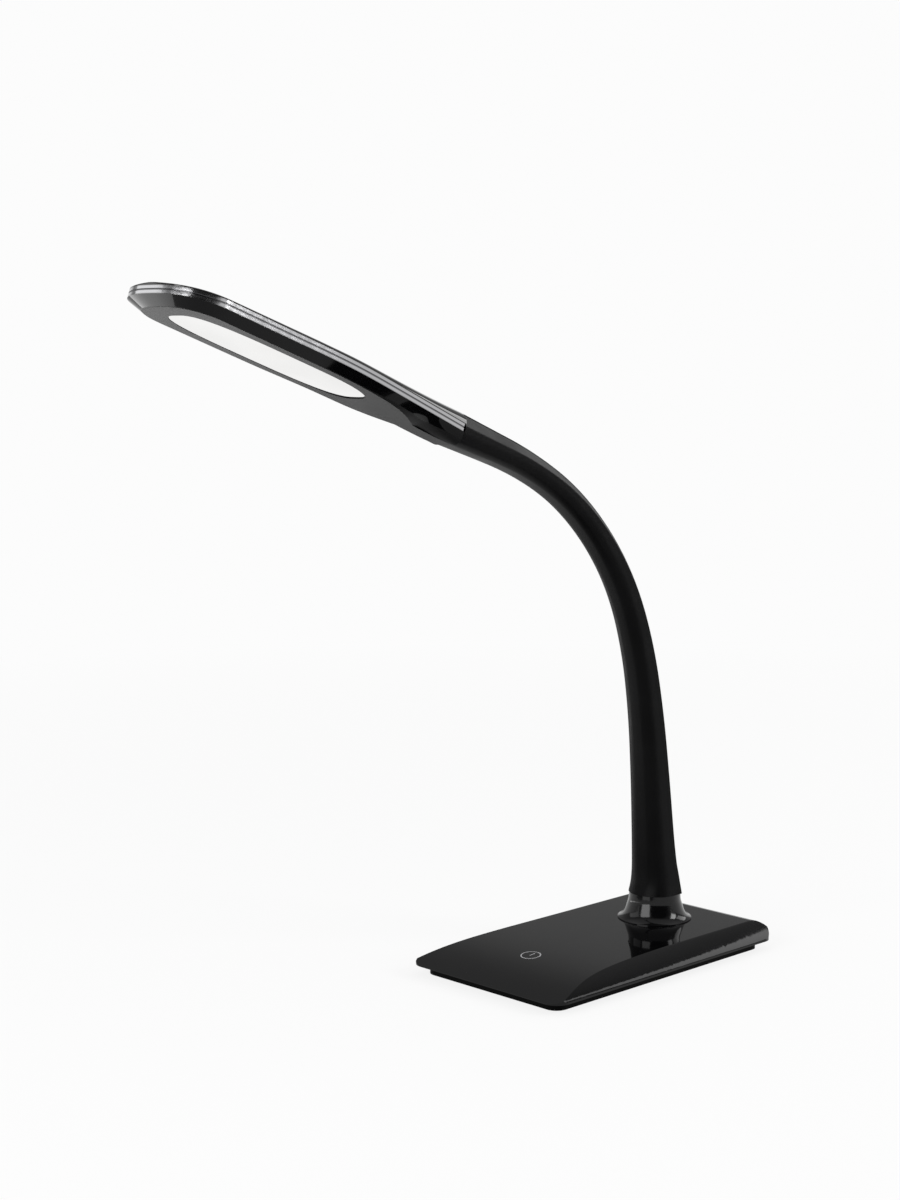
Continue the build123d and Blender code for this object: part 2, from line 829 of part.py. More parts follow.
def core_piece(number):
    # One vertebra: a cup over the ball below it and a ball at its upper joint.
    first = number == 1
    last = number == link_count
    lower = neck_plane(joint_distance(number - 1))
    upper = neck_plane(joint_distance(number))
    start = -core_below_seam if first else joint_distance(number - 1) + cup_rim
    end = core_end if last else joint_distance(number) - ball_shoulder
    with BuildPart() as piece:
        add(neck_rod(core_radius, start, end))
        if not last:
            with Locations(upper):
                Sphere(ball_radius)
            with BuildSketch(upper.offset(ball_top)):
                Circle(core_radius)
            extrude(amount=ball_radius, mode=Mode.SUBTRACT)
            with BuildSketch(upper):
                Circle(core_bore)
            with BuildSketch(upper.offset(ball_top)):
                Circle(ball_mouth)
            loft(mode=Mode.SUBTRACT)
        if not first:
            with Locations(lower):
                Sphere(ball_radius + running_gap, mode=Mode.SUBTRACT)
        bore_end = end if last else joint_distance(number)
        add(neck_rod(core_bore, start, bore_end), mode=Mode.SUBTRACT)
    return piece


def lead_piece(number):
    # Lamp lead inside the core; the first piece also turns forward to the control board.
    first = number == 1
    last = number == link_count
    start = -core_below_seam if first else joint_distance(number - 1) + lead_gap / 2
    end = neck_length + head_lead_length
    if not last:
        end = joint_distance(number) - lead_gap / 2
    if not first:
        with BuildPart() as piece:
            add(neck_rod(lead_radius, start, end))
        return piece
    board_end = Vector(0, connector_rear + running_gap, lead_height)
    bend_start = Vector(0, root_y - lead_bend, lead_height)
    bend_centre = Vector(0, root_y - lead_bend, core_foot)
    bend_middle = bend_centre + Vector(0, sin(pi / 4), -cos(pi / 4)) * lead_bend
    with BuildPart() as piece:
        with BuildLine() as route:
            Line(board_end, bend_start)
            ThreePointArc(bend_start, bend_middle, Vector(0, root_y, core_foot))
            neck_route(start, end)
        with BuildSketch(Plane.XZ.offset(-board_end.Y)):
            with Locations((0, lead_height)):
                Circle(lead_radius)
        sweep(path=route.wire())
    return piece


for number in range(1, link_count + 1):
    write(sleeve_piece(number), f"neck_sleeve_{number}")
    write(core_piece(number), f"gooseneck_core_{number}")
    write(lead_piece(number), f"lamp_lead_{number}")


# -------------------------------------------------------------- head frame

end_point, end_lean = neck_state(neck_length)
head_forward = Vector(0, -sin(end_lean), cos(end_lean))
head_up = Vector(0, cos(end_lean), sin(end_lean))
head_origin = end_point + head_forward * head_reach - head_up * head_axis_level
head_plane = Plane(origin=head_origin, x_dir=(1, 0, 0), z_dir=head_up)

trim_top = trim_level + trim_height
diffuser_top = shell_floor + diffuser_flange
reflector_top = diffuser_top + reflector_height
led_board_top = reflector_top + led_board_thickness
spreader_top = led_board_top + spreader_thickness
head_screw_grip = head_screw_length - led_board_thickness - spreader_thickness
head_screw_spots = [(0, step * head_screw_pitch) for step in (-1, 0, 1)]
ferrule_screw_spots = [(-ferrule_screw_x, ferrule_screw_level), (ferrule_screw_x, ferrule_screw_level)]


def across_head(back):
    # Plane across the head: local y is the level above the flat underside.
    return Plane(origin=head_origin - head_forward * back, x_dir=(1, 0, 0), z_dir=head_forward)


def head_outline(nose, half, shoulder, tail, inset=0.0, end_inset=0.0):
    # Rounded nose, straight side and tapering tail, drawn for one side and mirrored.
    width = half - inset
    reach = nose - shoulder - inset
    nose_points = []
    for step in range(1, 5):
        angle = pi / 2 * step / 5
        across = width * sin(angle) ** (2 / nose_power)
        nose_points.append((across, -shoulder - reach * cos(angle) ** (2 / nose_power)))
    tail_points = [(x - inset, y) for x, y in tail]
    tail_points[-1] = (tail_points[-1][0], tail_points[-1][1] - end_inset)
    last = Vector(tail_points[-1]) - Vector(tail_points[-2])
    with BuildSketch() as outline:
        with BuildLine():
            Spline((0, inset - nose), *nose_points, (width, -shoulder), tangents=((1, 0), (0, 1)))
            Line((width, -shoulder), tail_points[0])
            Spline(*tail_points, tangents=((0, 1), (last.X, last.Y)))
            Line(tail_points[-1], (0, tail_points[-1][1]))
            mirror(about=Plane.YZ)
        make_face()
    return outline.sketch


def band_outline(inset=0.0, end_inset=0.0):
    return head_outline(band_nose, band_half, band_shoulder, band_tail, inset, end_inset)


def facet_outline(inset=0.0):
    return head_outline(facet_nose, facet_half, facet_shoulder, facet_tail, inset)


def window_outline(inset=0.0):
    # Long rounded window of the diffuser.
    half_x = window_half - inset
    half_y = window_length - inset
    points = []
    for step in range(1, 6):
        angle = pi / 2 * step / 6
        points.append((half_x * cos(angle) ** (2 / window_power), half_y * sin(angle) ** (2 / window_power)))
    with BuildSketch() as outline:
        with BuildLine():
            Spline((half_x, 0), *points, (0, half_y), tangents=((0, 1), (-1, 0)))
            mirror(about=Plane.YZ)
            mirror(about=Plane.XZ)
        make_face()
    return outline.sketch


# --------------------------------------------------------- head lower shell

def band_half_at(back):
    # Half width of the band at a distance back along its tail.
    last = Vector(band_tail[-1]) - Vector(band_tail[-2])
    curve = Edge.make_spline([Vector(*point) for point in band_tail], [Vector(0, 1), Vector(last.X, last.Y)])
    low, high = 0.0, 1.0
    for _ in range(40):
        middle = (low + high) / 2
        if (curve @ middle).Y < back:
            low = middle
        else:
            high = middle
    return (curve @ low).X


def between(first, last, share):
    return first + (last - first) * share


with BuildPart() as throat:
    for back, foot, level, roundness in tail_sections:
        half = band_half_at(back)
        top = Vector(half, trim_level)
        bottom = Vector(foot, level)
        upper = between(between(top, bottom, 1 / 3), Vector(half, (trim_level + level) / 2), roundness)
        lower = between(between(top, bottom, 2 / 3), Vector((half + foot) / 2, level), roundness)
        with BuildSketch(across_head(back)):
            with BuildLine():
                Bezier(top, upper, lower, bottom)
                mirror(about=Plane.YZ)
                Line((-half, trim_level), (half, trim_level))
                Line((-foot, level), (foot, level))
            make_face()
    loft()

with BuildPart() as head_lower_shell:
    with BuildSketch(head_plane):
        add(facet_outline())
    with BuildSketch(head_plane.offset(trim_level)):
        add(band_outline())
        with Locations((0, tail_start - head_reach)):
            Rectangle(4 * band_half, 2 * head_reach, mode=Mode.INTERSECT)
    loft(ruled=True)
    add(throat.part)
    with BuildSketch(head_plane.offset(trim_level)):
        add(band_outline(trim_depth + fit_gap))
    extrude(amount=upstand_height)
    with BuildSketch(head_plane.offset(trim_level)):
        add(band_outline(trim_depth + fit_gap + shell_wall))
        with Locations((0, bulkhead - head_reach)):
            Rectangle(2 * band_half, 2 * head_reach, mode=Mode.INTERSECT)
    extrude(amount=upstand_height, mode=Mode.SUBTRACT)
    with BuildSketch(head_plane.offset(shell_floor)):
        add(band_outline(pocket_inset))
        with Locations((0, floor_pocket_end - head_reach)):
            Rectangle(2 * band_half, 2 * head_reach, mode=Mode.INTERSECT)
    extrude(amount=upstand_height, mode=Mode.SUBTRACT)
    with BuildSketch(head_plane):
        add(window_outline(-fit_gap))
    extrude(amount=shell_floor, mode=Mode.SUBTRACT)
    add(neck_rod(head_ferrule_radius + fit_gap, neck_length, ferrule_seat), mode=Mode.SUBTRACT)
    add(neck_rod(core_bore, neck_length, neck_length + head_lead_length), mode=Mode.SUBTRACT)
    with BuildSketch(across_head(bulkhead)):
        with Locations(*ferrule_screw_spots):
            Circle(ferrule_screw_radius + screw_gap)
    extrude(amount=-ferrule_screw_length, mode=Mode.SUBTRACT)
write(head_lower_shell, "head_lower_shell")


# ----------------------------------------------------------- head top cover


def crown_body(drop):
    # Block under the arched roof of the head, which rises towards the neck.
    with BuildPart() as body:
        for back, reach, edge_height, middle_height in crown_sections:
            with BuildSketch(across_head(back)):
                edge = trim_top + edge_height - drop
                with BuildLine():
                    Line((-reach, 0), (reach, 0))
                    Line((reach, 0), (reach, edge))
                    ThreePointArc((reach, edge), (0, trim_top + middle_height - drop), (-reach, edge))
                    Line((-reach, edge), (-reach, 0))
                make_face()
        loft()
    return body.part


crown_rise = crown_sections[-1][-1]

with BuildPart() as head_cavity:
    with BuildSketch(head_plane.offset(trim_top)):
        add(band_outline(side_wall, side_wall))
    extrude(amount=crown_rise)
    add(crown_body(cover_shell), mode=Mode.INTERSECT)
    with BuildSketch(head_plane.offset(spreader_top)):
        with Locations(*head_screw_spots):
            Circle(head_boss_radius)
    extrude(amount=crown_rise, mode=Mode.SUBTRACT)

with BuildPart() as head_top_cover:
    with BuildSketch(head_plane.offset(trim_top)):
        add(band_outline())
    extrude(amount=2 * crown_rise)
    add(crown_body(0), mode=Mode.INTERSECT)
    roof = head_top_cover.faces().sort_by(Axis(head_origin, head_up))[-1]
    rear_point = head_origin - head_forward * head_reach
    rolled = [edge for edge in roof.edges() if abs((edge @ 0.5 - rear_point).dot(head_forward)) > 1]
    fillet(rolled, crown_roll)
    add(head_cavity.part, mode=Mode.SUBTRACT)
    add(neck_rod(head_ferrule_radius + fit_gap, neck_length, ferrule_seat), mode=Mode.SUBTRACT)
    with BuildSketch(head_plane.offset(spreader_top)):
        with Locations(*head_screw_spots):
            Circle(head_screw_radius + screw_gap)
    extrude(amount=head_screw_grip + running_gap, mode=Mode.SUBTRACT)
write(head_top_cover, "head_top_cover")


# --------------------------------------------------------------- trim strip

with BuildPart() as trim_strip:
    with BuildSketch(head_plane.offset(trim_level)):
        add(band_outline())
    extrude(amount=trim_height)
    with BuildSketch(head_plane.offset(trim_level)):
        add(band_outline(trim_depth))
    extrude(amount=trim_height, mode=Mode.SUBTRACT)
    with BuildSketch(head_plane.offset(trim_groove_level)):
        add(band_outline())
        add(band_outline(trim_groove_depth), mode=Mode.SUBTRACT)
    extrude(amount=trim_groove_height, mode=Mode.SUBTRACT)
    with BuildSketch(across_head(trim_end)):
        with Locations((0, trim_level)):
            Rectangle(2 * band_half, 4 * trim_height)
    extrude(amount=-trim_height, mode=Mode.SUBTRACT)
write(trim_strip, "trim_strip")


# -------------------------------------------------------------- light stack

with BuildPart() as diffuser:
    with BuildSketch(head_plane.offset(diffuser_recess)):
        add(window_outline(fit_gap))
    extrude(amount=shell_floor - diffuser_recess)
    with BuildSketch(head_plane.offset(shell_floor)):
        add(window_outline(-window_lip))
    extrude(amount=diffuser_flange)
write(diffuser, "diffuser")

with BuildPart() as reflector_frame:
    with BuildSketch(head_plane.offset(diffuser_top)):
        add(window_outline(-window_lip))
    extrude(amount=reflector_height)
    with BuildSketch(head_plane.offset(diffuser_top)):
        add(window_outline(reflector_wall - window_lip))
    extrude(amount=reflector_height, mode=Mode.SUBTRACT)
write(reflector_frame, "reflector_frame")

with BuildPart() as led_board:
    with BuildSketch(head_plane.offset(reflector_top)):
        add(window_outline(-window_lip))
        with Locations(*head_screw_spots):
            Circle(head_screw_radius + screw_gap, mode=Mode.SUBTRACT)
    extrude(amount=led_board_thickness)
write(led_board, "led_board")

with BuildPart() as leds:
    with BuildSketch(head_plane.offset(reflector_top - led_height)):
        with GridLocations(led_row_pitch, led_pitch, led_rows, led_columns):
            Rectangle(led_width, led_length)
    extrude(amount=led_height)
write(leds, "leds")

with BuildPart() as heat_spreader:
    with BuildSketch(head_plane.offset(led_board_top)):
        add(window_outline(spreader_margin))
        with Locations(*head_screw_spots):
            Circle(head_screw_radius + screw_gap, mode=Mode.SUBTRACT)
    extrude(amount=spreader_thickness)
write(heat_spreader, "heat_spreader")

with BuildPart() as head_screws:
    with BuildSketch(head_plane.offset(reflector_top - head_screw_head)):
        with Locations(*head_screw_spots):
            Circle(head_screw_head_radius)
    extrude(amount=head_screw_head)
    with BuildSketch(head_plane.offset(reflector_top)):
        with Locations(*head_screw_spots):
            Circle(head_screw_radius)
    extrude(amount=head_screw_length)
write(head_screws, "head_screws")


# ------------------------------------------------------------- head ferrule

ferrule_rear = head_reach - running_gap

with BuildPart() as head_ferrule:
    with BuildSketch(across_head(bulkhead)):
        with Locations((0, head_axis_level)):
            Circle(head_ferrule_radius)
    extrude(amount=bulkhead - ferrule_rear)
    with BuildSketch(across_head(bulkhead)):
        with Locations((0, head_flange_level)):
            RectangleRounded(head_flange_width, head_flange_height, head_flange_corner)
    extrude(amount=head_flange)
    add(neck_rod(core_radius + fit_gap, neck_length, core_end + running_gap), mode=Mode.SUBTRACT)
    with BuildSketch(across_head(bulkhead + head_flange)):
        with Locations((0, head_axis_level)):
            Circle(core_bore)
    extrude(amount=4 * head_flange, both=True, mode=Mode.SUBTRACT)
    with BuildSketch(across_head(bulkhead)):
        with Locations(*ferrule_screw_spots):
            Circle(ferrule_screw_radius + screw_gap)
    extrude(amount=head_flange, mode=Mode.SUBTRACT)
write(head_ferrule, "head_ferrule")

with BuildPart() as ferrule_screws:
    with BuildSketch(across_head(bulkhead - head_flange)):
        with Locations(*ferrule_screw_spots):
            Circle(ferrule_screw_head_radius)
    extrude(amount=ferrule_screw_head)
    with BuildSketch(across_head(bulkhead - head_flange)):
        with Locations(*ferrule_screw_spots):
            Circle(ferrule_screw_radius)
    extrude(amount=-ferrule_screw_length)
write(ferrule_screws, "ferrule_screws")
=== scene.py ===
import json
from math import atan2, cos, pi, radians, sin

import bmesh
import bpy
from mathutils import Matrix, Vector


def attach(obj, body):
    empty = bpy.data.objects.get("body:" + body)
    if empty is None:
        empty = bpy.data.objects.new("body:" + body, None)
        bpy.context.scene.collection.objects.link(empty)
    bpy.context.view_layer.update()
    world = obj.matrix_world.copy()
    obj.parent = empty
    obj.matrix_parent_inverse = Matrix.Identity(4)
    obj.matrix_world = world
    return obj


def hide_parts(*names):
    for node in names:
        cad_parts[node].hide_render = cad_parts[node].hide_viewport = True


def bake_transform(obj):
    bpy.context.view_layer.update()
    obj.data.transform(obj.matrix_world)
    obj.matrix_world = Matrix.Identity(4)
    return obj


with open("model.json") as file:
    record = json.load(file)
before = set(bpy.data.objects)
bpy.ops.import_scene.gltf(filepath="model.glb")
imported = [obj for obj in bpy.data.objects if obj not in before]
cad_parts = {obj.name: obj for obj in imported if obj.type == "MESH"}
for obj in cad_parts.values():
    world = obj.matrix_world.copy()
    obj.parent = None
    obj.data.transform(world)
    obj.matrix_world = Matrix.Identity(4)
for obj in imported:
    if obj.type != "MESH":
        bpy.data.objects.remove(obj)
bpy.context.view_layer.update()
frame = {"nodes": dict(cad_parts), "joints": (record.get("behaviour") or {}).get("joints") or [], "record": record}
nodes = frame["nodes"]
scene = bpy.context.scene
scene.view_settings.view_transform = "Standard"

nearlyZero = 1e-9
mergeDistance = 1e-6


def deselectAll():
    if bpy.context.object and bpy.context.object.mode != "OBJECT":
        bpy.ops.object.mode_set(mode="OBJECT")
    bpy.ops.object.select_all(action="DESELECT")


def makeActive(piece):
    deselectAll()
    piece.select_set(True)
    bpy.context.view_layer.objects.active = piece


def smoothThrough(points, distance):
    # smooth value at a distance, through (distance, value) points
    index = 0
    while index < len(points) - 2 and distance > points[index + 1][0]:
        index += 1
    before, low = points[max(index - 1, 0)], points[index]
    high, after = points[index + 1], points[min(index + 2, len(points) - 1)]
    span = high[0] - low[0]
    t = (distance - low[0]) / span
    slopeLow = (high[1] - before[1]) / (high[0] - before[0]) * span
    slopeHigh = (after[1] - low[1]) / (after[0] - low[0]) * span
    value = (2 * t**3 - 3 * t**2 + 1) * low[1] + (3 * t**2 - 2 * t**3) * high[1]
    return value + (t**3 - 2 * t**2 + t) * slopeLow + (t**3 - t**2) * slopeHigh


def smoothKey(keys, column, distance):
    # the same for one column of a table whose first column is the distance
    return smoothThrough([(key[0], key[column]) for key in keys], distance)


deselectAll()
print("frame loaded:", len(nodes), "nodes")


sleeve = {
    "rootY": 0.0512,
    "seamHeight": 0.0315,
    "rootArc": 0.012,
    "rootBend": 6.5,
    "linkLength": 0.038,
    "linkBends": (-1.4, 1.4, 4.6, 9.4, 14.7, 12.8, 13.4, 8.6, 0.4),
    "crown": 0.0008,
    "edgeRound": 0.0011,
    "arcSteps": 6,
    "sideSteps": 5,
    "ringStep": 0.002,
    "smoothAngle": 50,
    "bendShare": 0.45,  # share of a link each side of its joint
    # distance from the seam, width, depth, back bevel, front corner
    "keys": (
        (0.000, 0.0300, 0.0290, 0.0070, 0.0120),
        (0.007, 0.0268, 0.0240, 0.0044, 0.0085),
        (0.019, 0.0242, 0.0206, 0.0032, 0.0065),
        (0.050, 0.0215, 0.0184, 0.0022, 0.0055),
        (0.126, 0.0181, 0.0154, 0.0018, 0.0045),
        (0.202, 0.0173, 0.0137, 0.0024, 0.0045),
        (0.278, 0.0199, 0.0138, 0.0044, 0.0050),
        (0.316, 0.0223, 0.0153, 0.0056, 0.0055),
        (0.354, 0.0248, 0.0177, 0.0067, 0.0060),
    ),
}
sleeveEnd = sleeve["rootArc"] + sleeve["linkLength"] * len(sleeve["linkBends"])


def neckState(distance):
    # point and lean of the neck's centre line
    lengths = [sleeve["rootArc"]] + [sleeve["linkLength"]] * len(sleeve["linkBends"])
    bends = [sleeve["rootBend"], *sleeve["linkBends"]]
    point = Vector((0, sleeve["rootY"], sleeve["seamHeight"]))
    lean = 0.0
    for length, bend in zip(lengths, bends):
        part = min(length, distance)
        turn = radians(bend) * part / length
        chord = part if abs(turn) < nearlyZero else 2 * part / turn * sin(turn / 2)
        point += Vector((0, -sin(lean + turn / 2), cos(lean + turn / 2))) * chord
        lean += turn
        distance -= part
        if distance < nearlyZero:
            break
    return point, lean


head = {
    "reach": 0.1229,
    "axisLevel": 0.0057,
    "trimLevel": 0.004,
    "trimTop": 0.008,
    "noseReach": 0.0754,
    "half": 0.0311,
    "shoulder": 0.0491,
    "nosePower": 2.6,
    # distance towards the neck and half width
    "tail": ((0.0039, 0.0311), (0.0309, 0.0297), (0.0649, 0.0238), (0.1009, 0.0167), (0.1229, 0.0123)),
    "windowHalf": (0.0176, 0.0575),
    "windowPower": 3.2,
    "windowGap": 0.0001,
}

# the head's own frame: level 0 is its flat underside
neckEnd, headLean = neckState(sleeveEnd)
headForward = Vector((0, -sin(headLean), cos(headLean)))
headUp = Vector((0, cos(headLean), sin(headLean)))
headOrigin = neckEnd + headForward * head["reach"] - headUp * head["axisLevel"]


def headPoint(across, back, level):
    return headOrigin + Vector((across, 0, 0)) - headForward * back + headUp * level


noiseSpan = (0.3, 0.7)  # where nearly all of a noise texture's values lie
bumpDepth = 0.0001


def addNode(owner, kind, inputs=None, **settings):
    node = owner.node_tree.nodes.new(kind)
    for name, value in settings.items():
        setattr(node, name, value)
    for name, value in (inputs or {}).items():
        node.inputs[name].default_value = value
    return node


def link(owner, output, socket):
    owner.node_tree.links.new(output, socket)


def newMaterial(name, color, roughness, metallic=0.0, ior=1.45):
    material = bpy.data.materials.new(name)
    material.use_nodes = True
    shader = material.node_tree.nodes["Principled BSDF"]
    shader.inputs["Base Color"].default_value = (*color, 1)
    shader.inputs["Roughness"].default_value = roughness
    shader.inputs["Metallic"].default_value = metallic
    shader.inputs["IOR"].default_value = ior
    material.diffuse_color = (*color, 1)
    return material, shader


def objectCoords(material, scale=(1, 1, 1)):
    coords = addNode(material, "ShaderNodeTexCoord")
    mapping = addNode(material, "ShaderNodeMapping", {"Scale": scale})
    link(material, coords.outputs["Object"], mapping.inputs["Vector"])
    return mapping.outputs["Vector"]


def noise(material, vector, scale, detail):
    texture = addNode(material, "ShaderNodeTexNoise", {"Scale": scale, "Detail": detail})
    link(material, vector, texture.inputs["Vector"])
    return texture.outputs["Fac"]


def remap(material, value, low, high, start, end):
    span = {"From Min": start, "From Max": end, "To Min": low, "To Max": high}
    node = addNode(material, "ShaderNodeMapRange", span)
    link(material, value, node.inputs["Value"])
    return node.outputs["Result"]


def fillRamp(ramp, marks):
    # (place, color) marks in rising order
    stops = ramp.color_ramp.elements
    while len(stops) < len(marks):
        stops.new(0.5)
    for stop, (place, color) in zip(stops, marks):
        stop.position = place
        stop.color = (*color, 1)


def varyColor(material, shader, value, dark, light):
    ramp = addNode(material, "ShaderNodeValToRGB")
    fillRamp(ramp, ((noiseSpan[0], dark), (noiseSpan[1], light)))
    link(material, value, ramp.inputs["Fac"])
    link(material, ramp.outputs["Color"], shader.inputs["Base Color"])


def varyRoughness(material, shader, value, low, high):
    link(material, remap(material, value, low, high, *noiseSpan), shader.inputs["Roughness"])


def addBump(material, shader, height, strength):
    bump = addNode(material, "ShaderNodeBump", {"Strength": strength, "Distance": bumpDepth})
    link(material, height, bump.inputs["Height"])
    link(material, bump.outputs["Normal"], shader.inputs["Normal"])


lacquer = {
    "color": (0.0015, 0.0015, 0.0017),
    "roughness": 0.07,
    "markScale": 38,
    "markSpan": (0.35, 0.7),
    "waveScale": 160,
    "wave": 0.05,
}


def pianoBlack(name, ior, grease=0.03, polish=0.045):
    # polished black moulding: faint handling marks in the gloss, a trace of flow in the surface
    material, shader = newMaterial(name, lacquer["color"], lacquer["roughness"], ior=ior)
    vector = objectCoords(material)
    marks = noise(material, vector, lacquer["markScale"], detail=3)
    dull = remap(material, marks, polish, polish + grease, *lacquer["markSpan"])
    link(material, dull, shader.inputs["Roughness"])
    addBump(material, shader, noise(material, vector, lacquer["waveScale"], detail=1), lacquer["wave"])
    return material


rubber = {
    "color": (0.002, 0.002, 0.002),
    "patchColors": ((0.0015, 0.0015, 0.0016), (0.0024, 0.0024, 0.0026)),
    "roughness": 0.4,
    "roughnessSpan": (0.34, 0.44),
    "ior": 1.12,
    "patchScale": 45,
    "grainScale": 2600,
    "grain": 0.25,
}


def softRubber(name):
    # matte soft-touch sleeve with a fine even grain
    material, shader = newMaterial(name, rubber["color"], rubber["roughness"], ior=rubber["ior"])
    vector = objectCoords(material)
    patches = noise(material, vector, rubber["patchScale"], detail=3)
    varyColor(material, shader, patches, *rubber["patchColors"])
    varyRoughness(material, shader, patches, *rubber["roughnessSpan"])
    addBump(material, shader, noise(material, vector, rubber["grainScale"], detail=2), rubber["grain"])
    return material


def headLevel(material, low, high, start, end):
    # a value that goes from low to high between two levels over the head's underside
    upright = addNode(material, "ShaderNodeVectorMath", {1: headUp}, operation="DOT_PRODUCT")
    link(material, objectCoords(material), upright.inputs[0])
    base = headOrigin.dot(headUp)
    return remap(material, upright.outputs["Value"], low, high, base + start, base + end)


shell = {
    "color": (0.0012, 0.0012, 0.0014),
    "roughness": 0.07,
    "ior": 1.16,
    "markScale": 45,
    "marks": (-0.015, 0.02),
    "satin": 0.46,
    "gloss": 0.06,
    "satinLevels": (0.00008, 0.0004),
    "waveScale": 160,
    "wave": 0.04,
}


def shellBlack(name):
    # polished band, and a satin underside round the window
    material, shader = newMaterial(name, shell["color"], shell["roughness"], ior=shell["ior"])
    vector = objectCoords(material)
    marks = noise(material, vector, shell["markScale"], detail=3)
    satin = headLevel(material, shell["satin"], shell["gloss"], *shell["satinLevels"])
    both = addNode(material, "ShaderNodeMath", operation="ADD")
    link(material, remap(material, marks, *shell["marks"], *noiseSpan), both.inputs[0])
    link(material, satin, both.inputs[1])
    link(material, both.outputs["Value"], shader.inputs["Roughness"])
    addBump(material, shader, noise(material, vector, shell["waveScale"], detail=1), shell["wave"])
    return material


trim = {
    "bright": (0.42, 0.42, 0.43),
    # the groove and edge colours are painted shade, darker than the plate's own colour
    "grooveShade": (0.13, 0.13, 0.135),
    "edge": (0.2, 0.2, 0.2),
    # share of the strip's height and what is painted there: the plate's own colour, or painted shade in the groove
    # and along the edges
    "marks": (
        (0.0, "edge"), (0.12, "bright"), (0.36, "bright"), (0.44, "grooveShade"),
        (0.58, "grooveShade"), (0.66, "bright"), (0.9, "bright"), (1.0, "edge"),
    ),
    "roughness": 0.13,
    "roughnessSpan": (0.1, 0.17),
    "dullScale": 300,
    "brushScale": 900,
    "brush": 0.03,
}


def platedTrim(name):
    # plated strip with painted shade along its groove and along its top and bottom edges
    material, shader = newMaterial(name, trim["bright"], trim["roughness"], metallic=1.0)
    vector = objectCoords(material)
    ramp = addNode(material, "ShaderNodeValToRGB")
    # the strip's height picks painted shade for the groove and the edges, and the plate's own colour between them
    fillRamp(ramp, [(place, trim[kind]) for place, kind in trim["marks"]])
    link(material, headLevel(material, 0, 1, head["trimLevel"], head["trimTop"]), ramp.inputs["Fac"])
    link(material, ramp.outputs["Color"], shader.inputs["Base Color"])
    dull = noise(material, vector, trim["dullScale"], detail=2)
    varyRoughness(material, shader, dull, *trim["roughnessSpan"])
    addBump(material, shader, noise(material, vector, trim["brushScale"], detail=2), trim["brush"])
    return material


opal = {
    "color": (0.06, 0.06, 0.06),
    "roughness": 0.5,
    "ior": 1.0,
    "glow": (1.0, 0.995, 0.985),
    "light": (0.77, 0.82),
    "cloudScale": 30,
    "grainScale": 1200,
    "grain": 0.05,
}


def litDiffuser(name):
    # opal sheet lit from behind, slightly uneven
    material, shader = newMaterial(name, opal["color"], opal["roughness"], ior=opal["ior"])
    vector = objectCoords(material)
    cloud = noise(material, vector, opal["cloudScale"], detail=2)
    shader.inputs["Emission Color"].default_value = (*opal["glow"], 1)
    link(material, remap(material, cloud, *opal["light"], *noiseSpan), shader.inputs["Emission Strength"])
    addBump(material, shader, noise(material, vector, opal["grainScale"], detail=1), opal["grain"])
    return material


mouldedLook = {"patchScale": 60, "patch": 0.15, "grain": 0.2}


def moulded(name, color, roughness=0.5, grainScale=900, ior=1.45):
    # plain moulded or stamped finish with a fine texture and a little unevenness
    material, shader = newMaterial(name, color, roughness, ior=ior)
    vector = objectCoords(material)
    dark = tuple(c * (1 - mouldedLook["patch"]) for c in color)
    light = tuple(min(c * (1 + mouldedLook["patch"]), 1) for c in color)
    patches = noise(material, vector, mouldedLook["patchScale"], detail=3)
    varyColor(material, shader, patches, dark, light)
    addBump(material, shader, noise(material, vector, grainScale, detail=2), mouldedLook["grain"])
    return material


metalLook = {"streakScale": 500, "dull": (0.7, 1.4), "relief": 0.15}


def metal(name, color, roughness, stretch=(1, 1, 1)):
    # bare metal with streaks along its working direction
    material, shader = newMaterial(name, color, roughness, metallic=1.0)
    vector = objectCoords(material, stretch)
    streaks = noise(material, vector, metalLook["streakScale"], detail=3)
    varyRoughness(material, shader, streaks, *(roughness * share for share in metalLook["dull"]))
    addBump(material, shader, streaks, metalLook["relief"])
    return material


finishes = {
    "gloss_black": pianoBlack("baseGloss", 1.3),
    "collar_black": pianoBlack("collarGloss", 1.34, 0.04, 0.1),
    "symbol_print": moulded("symbolPrint", (0.32, 0.32, 0.33), 0.45, 1500),
    "head_black": shellBlack("shellGloss"),
    "cover_black": pianoBlack("coverGloss", 1.45, 0.02),
    "sleeve_rubber": softRubber("sleeveRubber"),
    "trim_silver": platedTrim("platedTrim"),
    "diffuser_white": litDiffuser("litDiffuser"),
    "tray_black": moulded("trayPlastic", (0.0012, 0.0012, 0.0012), 0.45, ior=1.1),
    "pad_rubber": moulded("padRubber", (0.01, 0.01, 0.01), 0.75, 1500),
    "weight_iron": metal("castIron", (0.16, 0.16, 0.17), 0.6),
    "steel": metal("zincSteel", (0.55, 0.55, 0.56), 0.3, (1, 1, 0.1)),
    "board_green": moulded("solderMask", (0.015, 0.13, 0.05), 0.3),
    "component_black": moulded("chipPlastic", (0.02, 0.02, 0.022), 0.45),
    "electrode_brass": metal("tinnedBrass", (0.75, 0.62, 0.35), 0.3),
    "inlet_black": moulded("inletPlastic", (0.01, 0.01, 0.01), 0.4),
    "lead_jacket": moulded("leadJacket", (0.012, 0.012, 0.012), 0.5),
    "reflector_white": moulded("reflectorPlastic", (0.85, 0.85, 0.83), 0.3),
    "led_board_white": moulded("ledBoard", (0.8, 0.8, 0.8), 0.4),
    "led_yellow": moulded("ledPhosphor", (0.85, 0.68, 0.2), 0.4),
    "spreader_aluminium": metal("millAluminium", (0.65, 0.66, 0.67), 0.35, (0.1, 1, 1)),
}


def setFinish(piece, finish):
    piece.data.materials.clear()
    piece.data.materials.append(finishes[finish])


for part in frame["record"]["subparts"]:
    setFinish(nodes[part["node"]], part["material_slot"])
setFinish(nodes["neck_collar"], "collar_black")
print("finishes on every node")


